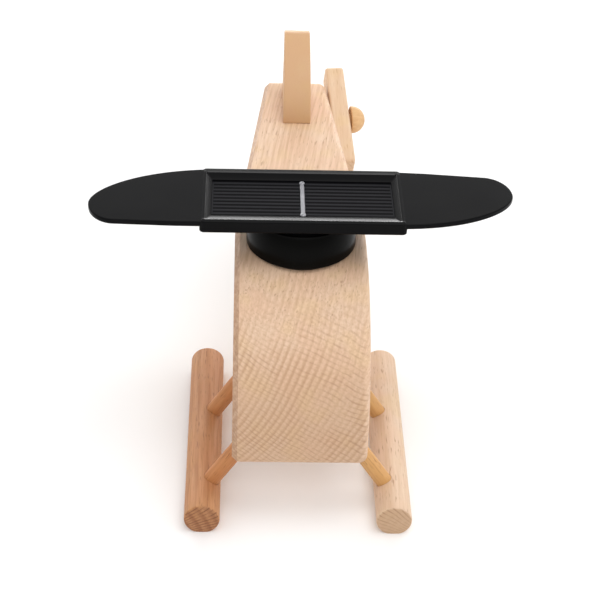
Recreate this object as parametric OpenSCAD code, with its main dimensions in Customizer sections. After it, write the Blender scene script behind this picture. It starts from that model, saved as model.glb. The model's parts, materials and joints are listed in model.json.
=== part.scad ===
// Toy helicopter: a solid beech body on two round skids, with a black plastic main rotor that
// carries a solar cell and its own small motor, a wooden tail fin and a wooden tail rotor on a peg.
// Millimetres, +Z up, nose towards -Y. The origin is on the ground, in the middle of the box that
// the whole toy fills. Places along the toy are stations, counted from the front of the skids.

/* [Body] */
// Width of the block between its flat sides
body_w = 39; // [34:0.5:42]
// Height of the underside above the ground
body_lift = 21; // [19:0.5:23]
// Height of the block from underside to flat top
body_h = 46.2; // [44:0.2:48]
// Station of the front of the nose
nose_at = 4.7; // [3:0.1:6]
// Station where the rounded nose meets the flat top
nose_end = 48; // [46:0.5:50]
// Height above the ground where the nose curve turns vertical
nose_z = 28; // [27:0.5:30]
// Station where the sides start to taper
taper_at = 64.2; // [60:0.2:68]
// Station of the end of the tail
tail_at = 154.2; // [150:0.2:158]
// Width of the tail at its end
tail_w = 20; // [18:0.5:22]
// Height of the slim tail
tail_h = 17.2; // [16:0.2:18]
// Rounding along the edges of both sides
edge_r = 2.5; // [1.5:0.1:2.8]

/* [Skids and struts] */
// Diameter of a skid
skid_d = 10.4; // [9.6:0.1:11]
// Length of a skid
skid_l = 77; // [72:0.5:80]
// Distance between the skids' centre lines
skid_gap = 56; // [54:0.5:58]
// Depth of the flat planed under each skid
skid_flat = 0.6; // [0.3:0.1:1]
// Diameter of a strut dowel
strut_d = 4.9; // [4:0.1:5.2]
// Slope of a strut from the ground
strut_slope = 57; // [55:1:60]
// Station of the front pair of struts
strut_front_at = 13.8; // [12:0.2:16]
// Station of the rear pair of struts
strut_rear_at = 46; // [42:0.5:50]

/* [Tail fin] */
// Thickness of the fin at its foot
fin_t = 9; // [8:0.2:10]
// Thickness of the fin at its top
fin_top_t = 8.4; // [8:0.2:9]
// Station of the fin's front edge at its foot
fin_at = 123.2; // [121:0.2:125]
// Height of the fin above the flat top
fin_h = 21.3; // [18:0.1:23]
// Diameter of the two hidden dowels
fin_dowel_d = 4; // [3:0.5:4]

/* [Tail rotor] */
// Length of the blade
plank_l = 39; // [34:0.5:40]
// Width of the blade
plank_w = 8.6; // [7.5:0.1:10]
// Thickness of the blade
plank_t = 6.2; // [5:0.1:6.5]
// Rise of the blade towards the tail, from level, as it is shown
plank_tilt = 26; // [0:1:60]
// Station of the peg
peg_at = 143; // [141:0.2:144]
// Height of the peg above the ground
peg_z = 57.5; // [57:0.1:58.5]
// Diameter of the peg's shank
peg_d = 4; // [3:0.1:4.2]
// Diameter of the peg's domed head
peg_head_d = 9.2; // [8:0.1:10]
// Height of the peg's domed head
peg_head_h = 5; // [4:0.1:5.5]

/* [Main rotor] */
// Station of the rotor's axis
hub_at = 53.5; // [53:0.1:54.5]
// Radius of the rotor at its blade tips
tip_r = 61.8; // [60:0.1:62.5]
// Length of the solar tray
tray_l = 59.2; // [58.4:0.1:60]
// Depth of the solar tray
tray_w = 29.6; // [29.2:0.1:30]
// Height of the solar tray
tray_h = 4; // [3.8:0.1:4.2]
// Gap between the flat top of the body and the tray
tray_lift = 11.3; // [11.3:0.1:12]
// Thickness of a blade
blade_t = 1.6; // [1.2:0.1:1.8]
// Drop of a blade from its root to its tip
blade_drop = 0.6; // [0:0.1:2]
// Radius of the base's foot on the body
base_r = 16.1; // [15.8:0.1:17]
// Height of the base above the body
base_h = 10.1; // [9.6:0.1:10.4]

/* [Motor] */
// Diameter of the motor can
can_d = 24.4; // [24:0.1:24.4]
// Height of the motor can
can_h = 12.3; // [12.1:0.1:12.3]
// Diameter of the motor shaft
shaft_d = 2; // [1.5:0.1:2]

/* [Hidden] */
$fn = 96;
eps = 0.01;

// Woods and plastics
beech = [0.87, 0.74, 0.60];
beech_warm = [0.80, 0.62, 0.44];
beech_red = [0.72, 0.53, 0.40];
strut_tan = [0.80, 0.62, 0.38];
black = [0.10, 0.10, 0.11];
steel = [0.70, 0.71, 0.73];
copper = [0.72, 0.42, 0.22];
brass = [0.80, 0.65, 0.30];

// Fuselage
wood_top = body_lift + body_h;
tail_under = wood_top - tail_h;
taper = (body_w - tail_w) / 2 / (tail_at - taper_at);
taper_blend = 10;
side_angle = atan(taper);
sweep_from = 54;
sweep_to = 118;
chin_r = 3.5;
tail_r = 4;
nose_steps = 16;
chin_steps = 6;
run_steps = 20;
corner_steps = 5;
round_steps = 4;
glue_gap = 0.05;

// Skids and struts
skid_z = skid_d / 2 - skid_flat;
skid_chamfer = 0.4;
strut_foot = 1.5;
strut_top = 30.5;

// Tail fin and its dowels
fin_sweep = 23.8;
fin_turn = 70;
fin_tip_l = 3.4;
fin_foot_l = 23.2;
fin_dowel_at = [fin_at + 5.8, fin_at + 16.6];
fin_dowel_depth = 6;

// Tail rotor: the side of the tail at the peg, and what stacks outwards from it
peg_x = body_w / 2 - taper * (peg_at - taper_at);
plank_gap = 0.8;
plank_corner = 1.5;
head_gap = 0.7;
peg_depth = 12;
peg_play = 0.08;

// Main rotor
tray_z = wood_top + tray_lift;
rim_z = tray_z + tray_h;
bevel_drop = 0.5;
cell_drop = 0.7;
cell_z = rim_z - bevel_drop - cell_drop;
cell_t = 0.3;
cell_lap = [1.8, 1.2];
backing_t = 0.9;
plate_t = 1;
wall_t = 1.3;
slip = 0.1;
window_l = 52.8;
window_w = 19.6;
rim_w = 1.2;
bevel_l = tray_l - 2 * rim_w;
bevel_w = tray_w - 2 * rim_w;
ribbon = [1.2, 18.8, 0.15];
solder_at = 8.7;
solder_r = 0.85;
solder_h = 0.35;
blade_z = rim_z - 0.3;
blade_root = tray_l / 2 - 0.8;
blade_steps = 14;
blade_half_w = 14.6;
base_top = wood_top + base_h;
base_rim_h = 2.2;
base_mouth_r = 13.5;
base_bore_r = 13.8;
base_spigot_r = 14.7;
base_floor_t = 1.4;
base_curve_in = 1.7;
boss_r = 3.4;
boss_down = 4.6;
boss_up = 0.7;
shaft_cover = 1.2;

// Motor, hung under the tray
can_top = tray_z;
can_z = can_top - can_h;
can_t = 0.6;
can_boss_r = 3;
can_boss_h = 1.2;
housing_r = 13.2;
housing_floor = can_z - 1;
base_floor = housing_floor - 1.3;
bushing_r = 2.2;
bushing_h = 1.6;
washer_r = 2.6;
washer_t = 0.3;
shaft_play = 0.04;
cap_t = 1.6;
magnet_t = 2.1;
magnet_h = 8;
magnet_z = can_z + 1.5;
magnet_arc = 150;
core_r = 9;
core_hub_r = 2.4;
core_h = 4;
core_z = can_z + 3;
shoe_t = 1.1;
shoe_arc = 95;
arm_w = 2.2;
coil_from = 4.4;
coil_to = 6.9;
coil_w = 6.4;
coil_out = 1.1;
poles = 3;
comm_r = 2;
comm_h = 1.6;
comm_z = can_top - cap_t - 2.1;
brush_t = 0.2;
brush_gap = 0.1;
tab_w = 2;
tab_t = 0.4;
tab_x = 7.5;
tab_up = 0.9;
screw_at = 8.5;
screw_r = 0.78;
screw_head_r = 1.5;
screw_head_h = 0.75;
lead_d = 0.6;
lead_sides = 8;
lead_bend = 10;
pad_at = [1, 9.8];
pad_r = 0.7;
pad_h = 0.75;

// The middle of the toy's length: from the skids' front ends to the tail rotor's rear corner
plank_reach = (plank_l / 2 - plank_corner) * cos(plank_tilt)
            + (plank_w / 2 - plank_corner) * sin(plank_tilt) + plank_corner;
toy_l = peg_at + plank_reach * cos(side_angle) + (plank_gap + plank_t) * sin(side_angle);
mid = toy_l / 2;

// A place along the toy
module at(station, x = 0, z = 0) { translate([x, station - mid, z]) children(); }

// A point of a cubic curve through a and d, pulled towards b and c
function curve(a, b, c, d, u) =
    pow(1 - u, 3) * a + 3 * u * pow(1 - u, 2) * b + 3 * u * u * (1 - u) * c + pow(u, 3) * d;
function curve_points(a, b, c, d, steps) =
    [for (i = [1 : steps]) curve(a, b, c, d, i / steps)];

// ---- Fuselage ----

// Half the block's width at a station, with a soft start to the taper
function half_w(s) =
    let (u = s - taper_at + taper_blend)
    body_w / 2 - (u < 0 ? 0
                : u < 2 * taper_blend ? taper * u * u / (4 * taper_blend)
                : taper * (u - taper_blend));

// Height of the underside at a station: flat, then an easy sweep up to the tail
function under_z(s) =
    let (u = max(0, min(1, (s - sweep_from) / (sweep_to - sweep_from))))
    body_lift + (tail_under - body_lift) * u * u * (3 - 2 * u);

run_stations = [for (i = [1 : run_steps])
    nose_end + (tail_at - tail_r - nose_end) * i / run_steps];

// Side outline as two chains from nose to tail, point for point at the same stations past the nose
upper_chain = concat(
    [for (i = [0 : nose_steps]) let (a = 180 - 90 * i / nose_steps)
        [nose_end + (nose_end - nose_at) * cos(a), nose_z + (wood_top - nose_z) * sin(a)]],
    [for (s = run_stations) [s, wood_top]],
    [for (i = [1 : corner_steps]) let (a = 90 * i / corner_steps)
        [tail_at - tail_r + tail_r * sin(a), wood_top - tail_r + tail_r * cos(a)]]);
lower_chain = concat(
    [for (i = [0 : chin_steps]) let (a = 90 * i / chin_steps)
        [nose_at + chin_r - chin_r * cos(a), body_lift + chin_r - chin_r * sin(a)]],
    [for (i = [1 : nose_steps - chin_steps])
        [nose_at + chin_r + (nose_end - nose_at - chin_r) * i / (nose_steps - chin_steps),
         body_lift]],
    [for (s = run_stations) [s, under_z(s)]],
    [for (i = [1 : corner_steps]) let (a = 90 * i / corner_steps)
        [tail_at - tail_r + tail_r * sin(a), tail_under + tail_r - tail_r * cos(a)]]);
half_n = len(upper_chain);
outline = concat(upper_chain, [for (i = [half_n - 1 : -1 : 0]) lower_chain[i]]);
outline_n = len(outline);

// The outline's point i, moved inwards by d
function inset(i, d) =
    let (t = outline[(i + 1) % outline_n] - outline[(i + outline_n - 1) % outline_n])
    outline[i] + d * [t[1], -t[0]] / norm(t);

// One outline across the block: side is -1 or 1, and a goes from 0 at the edge to 90 on the flat side
function block_ring(side, a) =
    [for (i = [0 : outline_n - 1]) let (p = inset(i, edge_r * (1 - cos(a))))
        [side * (half_w(p[0]) - edge_r * (1 - sin(a))), p[0] - mid, p[1]]];

module block() {
    rings = concat([for (k = [round_steps : -1 : 0]) block_ring(-1, 90 * k / round_steps)],
                   [for (k = [0 : round_steps]) block_ring(1, 90 * k / round_steps)]);
    last = (len(rings) - 1) * outline_n;
    side_quads = [for (j = [0 : half_n - 2]) [j, j + 1, outline_n - 2 - j, outline_n - 1 - j]];
    skin = [for (r = [0 : len(rings) - 2], i = [0 : outline_n - 1])
        let (a = r * outline_n + i, b = r * outline_n + (i + 1) % outline_n)
        each [[a, b, b + outline_n], [a, b + outline_n, a + outline_n]]];
    left = [for (q = side_quads) each [[q[3], q[2], q[1]], [q[3], q[1], q[0]]]];
    right = [for (q = side_quads) each [[last + q[0], last + q[1], last + q[2]],
                                        [last + q[0], last + q[2], last + q[3]]]];
    polyhedron(points = [for (r = rings) each r], faces = concat(skin, left, right));
}

module fuselage() {
    color(beech) difference() {
        block();
        at(hub_at, z = base_floor - base_floor_t)
            cylinder(r = base_spigot_r + glue_gap, h = wood_top);
        at(hub_at, z = base_floor - base_floor_t - boss_down - glue_gap)
            cylinder(r = boss_r + glue_gap, h = wood_top);
        for (side = [-1, 1], s = [strut_front_at, strut_rear_at])
            strut(side, s, strut_d + 2 * glue_gap, strut_top + 0.5);
        for (s = fin_dowel_at)
            at(s, z = wood_top - fin_dowel_depth - 0.2)
                cylinder(d = fin_dowel_d + 2 * glue_gap, h = tail_h);
        peg_frame() translate([0, 0, -peg_depth - 0.2])
            cylinder(d = peg_d + 2 * glue_gap, h = peg_depth + 5);
    }
}

// ---- Skids and struts ----

// A strut's dowel, from inside the skid up into the block
module strut(side, station, d, reach) {
    at(station, side * skid_gap / 2, skid_z)
        rotate([0, -side * (90 - strut_slope), 0])
            translate([0, 0, -strut_foot])
                cylinder(d = d, h = strut_foot + reach);
}

module skid(side) {
    r = skid_d / 2;
    color(side < 0 ? beech_red : beech) difference() {
        at(0, side * skid_gap / 2, skid_z)
            rotate([-90, 0, 0])
                rotate_extrude()
                    polygon([[0, 0], [r - skid_chamfer, 0], [r, skid_chamfer],
                             [r, skid_l - skid_chamfer], [r - skid_chamfer, skid_l], [0, skid_l]]);
        at(skid_l / 2, side * skid_gap / 2, -skid_d / 2)
            cube([2 * skid_d, 2 * skid_l, skid_d], center = true);
        for (s = [strut_front_at, strut_rear_at])
            strut(side, s, strut_d + 2 * glue_gap, skid_d);
    }
}

module skid_left() { skid(-1); }
module skid_right() { skid(1); }
module strut_front_left() { color(beech_warm) strut(-1, strut_front_at, strut_d, strut_top); }
module strut_front_right() { color(strut_tan) strut(1, strut_front_at, strut_d, strut_top); }
module strut_rear_left() { color(beech_warm) strut(-1, strut_rear_at, strut_d, strut_top); }
module strut_rear_right() { color(strut_tan) strut(1, strut_rear_at, strut_d, strut_top); }

// ---- Tail fin ----

// Side outline: an arched leading edge, a short tip and a hollow trailing edge
fin_front_steps = 12;
fin_rise = fin_h / sin(fin_turn);
fin_reach = fin_sweep / (1 - cos(fin_turn));
fin_tip = [fin_sweep + fin_tip_l, fin_h - 1];
fin_outline = concat(
    [for (i = [0 : fin_front_steps]) let (a = fin_turn * i / fin_front_steps)
        [fin_reach * (1 - cos(a)), fin_rise * sin(a)]],
    [fin_tip],
    curve_points(fin_tip, fin_tip - [4, 5], [fin_foot_l - 3.5, 7], [fin_foot_l, 0], 8));

module tail_fin() {
    color(beech_warm) difference() {
        at(fin_at, z = wood_top) intersection() {
            rotate([90, 0, 90])
                translate([0, 0, -fin_t / 2])
                    linear_extrude(fin_t)
                        polygon(fin_outline);
            rotate([90, 0, 0])
                translate([0, 0, -2 * fin_h])
                    linear_extrude(4 * fin_h)
                        polygon([[-fin_t / 2, 0], [fin_t / 2, 0],
                                 [fin_top_t / 2, fin_h], [-fin_top_t / 2, fin_h]]);
        }
        for (s = fin_dowel_at)
            at(s, z = wood_top - 1)
                cylinder(d = fin_dowel_d + 2 * glue_gap, h = fin_dowel_depth + 1.2);
    }
}

module fin_dowels() {
    color(strut_tan)
        for (s = fin_dowel_at)
            at(s, z = wood_top - fin_dowel_depth)
                cylinder(d = fin_dowel_d, h = 2 * fin_dowel_depth);
}

// ---- Tail rotor ----

// The peg's own frame: on the tail's right side, +Z straight out from it
module peg_frame() {
    at(peg_at, peg_x, peg_z)
        rotate([0, 0, side_angle]) rotate([0, 90, 0]) children();
}

module tail_rotor() {
    r = plank_corner;
    color(beech) peg_frame() translate([0, 0, plank_gap]) rotate([0, 0, 90 + plank_tilt])
        difference() {
            linear_extrude(plank_t) union() {
                square([plank_l - 2 * r, plank_w], center = true);
                square([plank_l, plank_w - 2 * r], center = true);
                for (x = [-1, 1], y = [-1, 1])
                    translate([x * (plank_l / 2 - r), y * (plank_w / 2 - r)]) circle(r = r);
            }
            translate([0, 0, -1]) cylinder(r = peg_d / 2 + peg_play, h = plank_t + 2);
        }
}

module tail_rotor_peg() {
    head_z = plank_gap + plank_t + head_gap;
    head_r = peg_head_d / 2;
    color(strut_tan) peg_frame() rotate_extrude() polygon(concat(
        [[0, -peg_depth], [peg_d / 2, -peg_depth], [peg_d / 2, head_z], [head_r - 0.6, head_z]],
        [for (i = [0 : 10]) let (a = 90 * i / 10)
            [head_r * cos(a), head_z + 0.6 + (peg_head_h - 0.6) * sin(a)]]));
}

// ---- Base of the main rotor, fixed to the body ----

module rotor_base() {
    spigot_z = base_floor - base_floor_t;
    curve_h = base_h - base_rim_h;
    color(black) at(hub_at) difference() {
        rotate_extrude() polygon(concat(
            [[0, spigot_z - boss_down], [boss_r, spigot_z - boss_down], [boss_r, spigot_z],
             [base_spigot_r, spigot_z], [base_spigot_r, wood_top], [base_r, wood_top]],
            [for (i = [0 : 8]) let (u = i / 8)
                [base_r - base_curve_in * u * u, wood_top + base_rim_h + curve_h * u]],
            [[base_mouth_r, base_top], [base_mouth_r, base_top - 1], [base_bore_r, base_top - 1.5],
             [base_bore_r, base_floor], [boss_r, base_floor], [boss_r, base_floor + boss_up],
             [0, base_floor + boss_up]]));
        translate([0, 0, spigot_z - boss_down + shaft_cover])
            cylinder(d = shaft_d, h = boss_down + base_floor_t + boss_up);
    }
}

// ---- Motor: the shaft and what is on it stand still in the base, the rest turns ----

module motor_shaft() {
    foot = base_floor - base_floor_t - boss_down + shaft_cover;
    color(steel) at(hub_at, z = foot) cylinder(d = shaft_d, h = can_top - 0.1 - foot);
}

module thrust_washer() {
    color(brass) at(hub_at, z = base_floor + boss_up) difference() {
        cylinder(r = washer_r, h = washer_t);
        translate([0, 0, -1]) cylinder(d = shaft_d + 0.1, h = 2);
    }
}

// A sector of a ring, in the plane
module sector(r_in, r_out, arc) {
    steps = ceil(arc / 6);
    function edge(r, from, to) = [for (i = [0 : steps]) let (a = from + (to - from) * i / steps)
        r * [cos(a), sin(a)]];
    polygon(concat(edge(r_out, -arc / 2, arc / 2), edge(r_in, arc / 2, -arc / 2)));
}

module armature_core() {
    color(steel) at(hub_at, z = core_z) difference() {
        linear_extrude(core_h) union() {
            circle(r = core_hub_r);
            for (k = [0 : poles - 1]) rotate(360 / poles * k) {
                translate([0, -arm_w / 2]) square([core_r - 0.6, arm_w]);
                sector(core_r - shoe_t, core_r, shoe_arc);
            }
        }
        translate([0, 0, -1]) cylinder(d = shaft_d, h = core_h + 2);
    }
}

module armature_windings() {
    color(copper) at(hub_at, z = core_z)
        for (k = [0 : poles - 1]) rotate([0, 0, 360 / poles * k]) difference() {
            translate([coil_from, -coil_w / 2, -coil_out])
                cube([coil_to - coil_from, coil_w, core_h + 2 * coil_out]);
            translate([0, -arm_w / 2 - eps, -eps])
                cube([core_r, arm_w + 2 * eps, core_h + 2 * eps]);
        }
}

module commutator() {
    color(copper) at(hub_at, z = comm_z) difference() {
        cylinder(r = comm_r, h = comm_h);
        translate([0, 0, -1]) cylinder(d = shaft_d, h = comm_h + 2);
    }
}

module motor_can() {
    inner_r = can_d / 2 - can_t;
    color(steel) at(hub_at) difference() {
        union() {
            translate([0, 0, can_z]) cylinder(d = can_d, h = can_h);
            translate([0, 0, can_z - can_boss_h]) cylinder(r = can_boss_r, h = can_boss_h + eps);
        }
        translate([0, 0, can_z + can_t]) cylinder(r = inner_r, h = can_h);
        translate([0, 0, can_z - 2]) cylinder(r = bushing_r, h = 4);
        for (side = [-1, 1])
            translate([0, side * screw_at, can_z - 1]) cylinder(r = screw_r + 0.02, h = 2);
    }
}

module motor_magnets() {
    outer = can_d / 2 - can_t - 0.02;
    color([0.25, 0.25, 0.27]) at(hub_at, z = magnet_z)
        for (turn = [0, 180]) rotate([0, 0, turn]) intersection() {
            difference() {
                cylinder(r = outer, h = magnet_h);
                translate([0, 0, -1]) cylinder(r = outer - magnet_t, h = magnet_h + 2);
            }
            linear_extrude(magnet_h) sector(1, can_d, magnet_arc);
        }
}

module motor_bushings() {
    color(brass) at(hub_at) for (z = [can_z - can_boss_h + 0.1, can_top - cap_t - 0.1])
        translate([0, 0, z]) difference() {
            cylinder(r = bushing_r, h = bushing_h);
            translate([0, 0, -1]) cylinder(r = shaft_d / 2 + shaft_play, h = 4);
        }
}

// The place of each terminal, one on each side of the shaft
module each_terminal() {
    for (turn = [0, 180]) rotate([0, 0, turn])
        translate([tab_x, comm_r + brush_gap, 0]) children();
}

module motor_end_cap() {
    color([0.85, 0.84, 0.80]) at(hub_at, z = can_top - cap_t) difference() {
        cylinder(r = can_d / 2 - can_t - 0.02, h = cap_t);
        translate([0, 0, -1]) cylinder(r = bushing_r, h = cap_t + 2);
        each_terminal() translate([-tab_w / 2, 0, -1]) cube([tab_w, tab_t, cap_t + 2]);
    }
}

module motor_brushes() {
    leaf_z = comm_z + 0.3;
    leaf_h = 1;
    color(copper) at(hub_at) each_terminal() {
        translate([-tab_x - 1, 0, leaf_z]) cube([tab_x + 1 + tab_w / 2, brush_t, leaf_h]);
        translate([-tab_w / 2, 0, leaf_z]) cube([tab_w, tab_t, can_top - cap_t - leaf_z]);
    }
}

module motor_terminals() {
    color(brass) at(hub_at, z = can_top - cap_t) each_terminal()
        translate([-tab_w / 2, 0, 0]) cube([tab_w, tab_t, cap_t + tab_up]);
}

module motor_screws() {
    color(steel) at(hub_at) for (side = [-1, 1]) translate([0, side * screw_at, 0]) {
        translate([0, 0, housing_floor - eps]) cylinder(r = screw_r, h = 2);
        difference() {
            translate([0, 0, housing_floor - screw_head_h])
                cylinder(r = screw_head_r, h = screw_head_h);
            translate([0, 0, housing_floor - screw_head_h]) {
                cube([2, 0.4, 0.7], center = true);
                cube([0.4, 2, 0.7], center = true);
            }
        }
    }
}

// ---- Rotor: housing under the tray, frame with the blades, and the solar cell ----

inner_l = tray_l - 2 * wall_t;
inner_w = tray_w - 2 * wall_t;
plate_top = tray_z + plate_t;
backing_z = cell_z - cell_t - backing_t;

// A rectangular slab on the rotor's axis
module slab(l, w, z, h) {
    translate([-l / 2, -w / 2, z]) cube([l, w, h]);
}

module motor_housing() {
    color(black) at(hub_at) difference() {
        union() {
            translate([0, 0, housing_floor]) cylinder(r = housing_r, h = tray_z - housing_floor);
            slab(inner_l - 2 * slip, inner_w - 2 * slip, tray_z - eps, plate_t + eps);
            difference() {
                slab(inner_l - 2 * slip, inner_w - 2 * slip, plate_top - eps, backing_z - plate_top + eps);
                slab(inner_l - 4, inner_w - 1.4, plate_top - 1, 4);
            }
        }
        translate([0, 0, can_z]) cylinder(d = can_d + 0.04, h = can_h);
        translate([0, 0, can_top - 1]) cylinder(r = can_d / 2 - can_t, h = 4);
        translate([0, 0, housing_floor - 1]) cylinder(r = can_boss_r + 0.1, h = 3);
        for (side = [-1, 1])
            translate([0, side * screw_at, housing_floor - 1]) cylinder(r = screw_r + 0.1, h = 3);
    }
}

// Plan of one blade: a nearly straight edge, a round tip and a long curved edge
blade_corner = [tip_r - 7.3, 13.2];
blade_tip = [tip_r, 3.6];
blade_heel = [blade_root, -blade_half_w];
blade_plan = concat(
    [[blade_root, blade_half_w], [blade_root + 8, blade_half_w - 0.2]],
    [blade_corner],
    curve_points(blade_corner, blade_corner + [4.1, -0.6], blade_tip + [0, 5], blade_tip, blade_steps),
    curve_points(blade_tip, blade_tip - [0, 6.6], [50, -13.4], blade_heel, blade_steps));

module blade() {
    droop = atan(blade_drop / (tip_r - tray_l / 2));
    translate([tray_l / 2, 0, blade_z])
        rotate([0, droop, 0])
            translate([-tray_l / 2, 0, -blade_t])
                linear_extrude(blade_t)
                    polygon(blade_plan);
}

// The hollow that slopes inwards from the tray's rim to its window
module bevel() {
    low_z = rim_z - bevel_drop;
    polyhedron(
        points = [for (layer = [[window_l, window_w, low_z - 0.2], [window_l, window_w, low_z],
                                [bevel_l, bevel_w, rim_z], [bevel_l, bevel_w, rim_z + 1]],
                       c = [[-1, -1], [1, -1], [1, 1], [-1, 1]])
            [c[0] * layer[0] / 2, c[1] * layer[1] / 2, layer[2]]],
        faces = concat([[0, 1, 2, 3], [15, 14, 13, 12]],
            [for (k = [0 : 2], i = [0 : 3])
                [4 * k + i, 4 * k + 4 + i, 4 * k + 4 + (i + 1) % 4, 4 * k + (i + 1) % 4]]));
}

module rotor_frame() {
    color(black) at(hub_at) difference() {
        union() {
            slab(tray_l, tray_w, tray_z, tray_h);
            for (turn = [0, 180]) rotate([0, 0, turn]) blade();
        }
        slab(inner_l, inner_w, tray_z - 1, cell_z - tray_z + 1);
        slab(window_l, window_w, tray_z, tray_h);
        bevel();
    }
}

module cell_backing() {
    color([0.12, 0.22, 0.16]) at(hub_at)
        slab(inner_l - 4 * slip, inner_w - 4 * slip, backing_z, backing_t);
}

module solar_cell() {
    color([0.12, 0.12, 0.16]) at(hub_at)
        slab(window_l + cell_lap[0], window_w + cell_lap[1], cell_z - cell_t, cell_t);
}

module bus_ribbon() {
    color(steel) at(hub_at, z = cell_z) {
        translate([-ribbon[0] / 2, -ribbon[1] / 2, 0]) cube(ribbon);
        for (side = [-1, 1])
            translate([0, side * solder_at, 0]) cylinder(r = solder_r, h = solder_h);
    }
}

// ---- Leads from the cell's board to the motor's terminals ----

// Points of a route whose corners are eased by sampling a curve between mid-points
function eased(p) = concat([p[0]],
    [for (i = [1 : len(p) - 2]) let (a = (p[i - 1] + p[i]) / 2, b = (p[i] + p[i + 1]) / 2)
        each [for (k = [0 : lead_bend / 2]) let (u = k / (lead_bend / 2))
            (1 - u) * (1 - u) * a + 2 * u * (1 - u) * p[i] + u * u * b]],
    [p[len(p) - 1]]);

// A round tube along a route
module tube(route, d) {
    p = eased(route);
    n = len(p);
    function heading(i) = let (h = p[min(i + 1, n - 1)] - p[max(i - 1, 0)]) h / norm(h);
    function ring(i) = let (
        t = heading(i),
        s = abs(t[2]) > 0.9 ? [1, 0, 0] : [0, 0, 1],
        u = cross(s, t) / norm(cross(s, t)),
        v = cross(t, u))
        [for (k = [0 : lead_sides - 1]) let (a = 360 * k / lead_sides)
            p[i] + d / 2 * (u * cos(a) + v * sin(a))];
    polyhedron(
        points = [for (i = [0 : n - 1]) each ring(i)],
        faces = concat(
            [[for (k = [0 : lead_sides - 1]) k],
             [for (k = [lead_sides - 1 : -1 : 0]) (n - 1) * lead_sides + k]],
            [for (i = [0 : n - 2], k = [0 : lead_sides - 1])
                let (a = i * lead_sides + k, b = i * lead_sides + (k + 1) % lead_sides)
                each [[a, a + lead_sides, b], [b, a + lead_sides, b + lead_sides]]]));
}

// Each lead's route, from beside its terminal out and round to its pad on the board's underside
lead_z = can_top + 0.55;
lead_route = [[8.5, 2.3, lead_z], [10.2, 2.4, lead_z], [10, 5, lead_z], [7, 8, lead_z],
              [3, 9.6, lead_z], [pad_at[0], pad_at[1], backing_z - 0.35]];

module lead(turn, colour) {
    color(colour) at(hub_at) rotate([0, 0, turn]) {
        tube(lead_route, lead_d);
        translate([pad_at[0], pad_at[1], backing_z - pad_h]) cylinder(r = pad_r, h = pad_h);
    }
}

module lead_positive() { lead(0, [0.75, 0.12, 0.10]); }
module lead_negative() { lead(180, [0.12, 0.12, 0.12]); }

fuselage();
tail_fin();
fin_dowels();
skid_left();
skid_right();
strut_front_left();
strut_front_right();
strut_rear_left();
strut_rear_right();
rotor_base();
motor_shaft();
thrust_washer();
armature_core();
armature_windings();
commutator();
rotor_frame();
motor_housing();
motor_can();
motor_screws();
motor_magnets();
motor_bushings();
motor_end_cap();
motor_brushes();
motor_terminals();
cell_backing();
solar_cell();
bus_ribbon();
lead_positive();
lead_negative();
tail_rotor();
tail_rotor_peg();
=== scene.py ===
import json
import math

import bmesh
import bpy
import numpy as np
from mathutils import Matrix, Vector


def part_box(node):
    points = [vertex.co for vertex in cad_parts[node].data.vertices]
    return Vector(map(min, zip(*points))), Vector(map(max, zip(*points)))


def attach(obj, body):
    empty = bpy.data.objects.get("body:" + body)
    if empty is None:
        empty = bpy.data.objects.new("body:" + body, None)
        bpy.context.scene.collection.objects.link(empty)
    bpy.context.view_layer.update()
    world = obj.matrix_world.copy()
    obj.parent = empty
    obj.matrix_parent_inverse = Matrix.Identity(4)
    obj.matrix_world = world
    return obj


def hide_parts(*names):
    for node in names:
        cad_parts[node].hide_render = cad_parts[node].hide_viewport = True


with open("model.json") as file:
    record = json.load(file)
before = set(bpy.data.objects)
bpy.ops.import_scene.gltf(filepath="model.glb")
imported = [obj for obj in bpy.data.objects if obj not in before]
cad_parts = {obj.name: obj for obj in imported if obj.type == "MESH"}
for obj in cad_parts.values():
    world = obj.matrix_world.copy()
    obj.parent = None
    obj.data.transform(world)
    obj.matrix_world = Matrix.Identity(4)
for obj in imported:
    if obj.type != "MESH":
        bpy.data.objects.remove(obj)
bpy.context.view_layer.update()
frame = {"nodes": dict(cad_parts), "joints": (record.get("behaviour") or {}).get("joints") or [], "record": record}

# Toy helicopter: a beech body on two round skids, a black plastic rotor with a solar cell, a wooden
# tail fin and a wooden tail rotor on a peg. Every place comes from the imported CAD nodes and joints.
# Blender works in metres, and MM turns the millimetres below into metres.

MM = 0.001
RECORD = frame["record"]
BODY_OF = {node: body for body, nodes in RECORD["behaviour"]["bodies"].items() for node in nodes}
JOINT = {joint["name"]: joint for joint in frame["joints"]}
HUB = Vector(JOINT["rotor_spin"]["pos_m"])
HUB_PLACE = Matrix.Translation((HUB.x, HUB.y, 0))

# Faces that meet at more than this angle keep a crisp edge.
SHARP = math.radians(32)


# ---- Meshes ----

def loft(rings, closed=False):
    """A skin over rings of points. A ring of one point is a pole, and open ends are capped."""
    points, faces, first = [], [], []
    for ring in rings:
        first.append(len(points))
        points += [tuple(p) for p in ring]
    steps = list(zip(range(len(rings) - 1), range(1, len(rings))))
    if closed:
        steps.append((len(rings) - 1, 0))
    for a, b in steps:
        count = max(len(rings[a]), len(rings[b]))
        for i in range(count):
            j = (i + 1) % count
            if len(rings[a]) == 1:
                faces.append((first[a], first[b] + j, first[b] + i))
            elif len(rings[b]) == 1:
                faces.append((first[a] + i, first[a] + j, first[b]))
            else:
                faces.append((first[a] + i, first[a] + j, first[b] + j, first[b] + i))
    if not closed:
        for at, ring in ((0, rings[0]), (-1, rings[-1])):
            if len(ring) > 1:
                cap = [first[at] + i for i in range(len(ring))]
                faces.append(cap if at else cap[::-1])
    return points, faces


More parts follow.
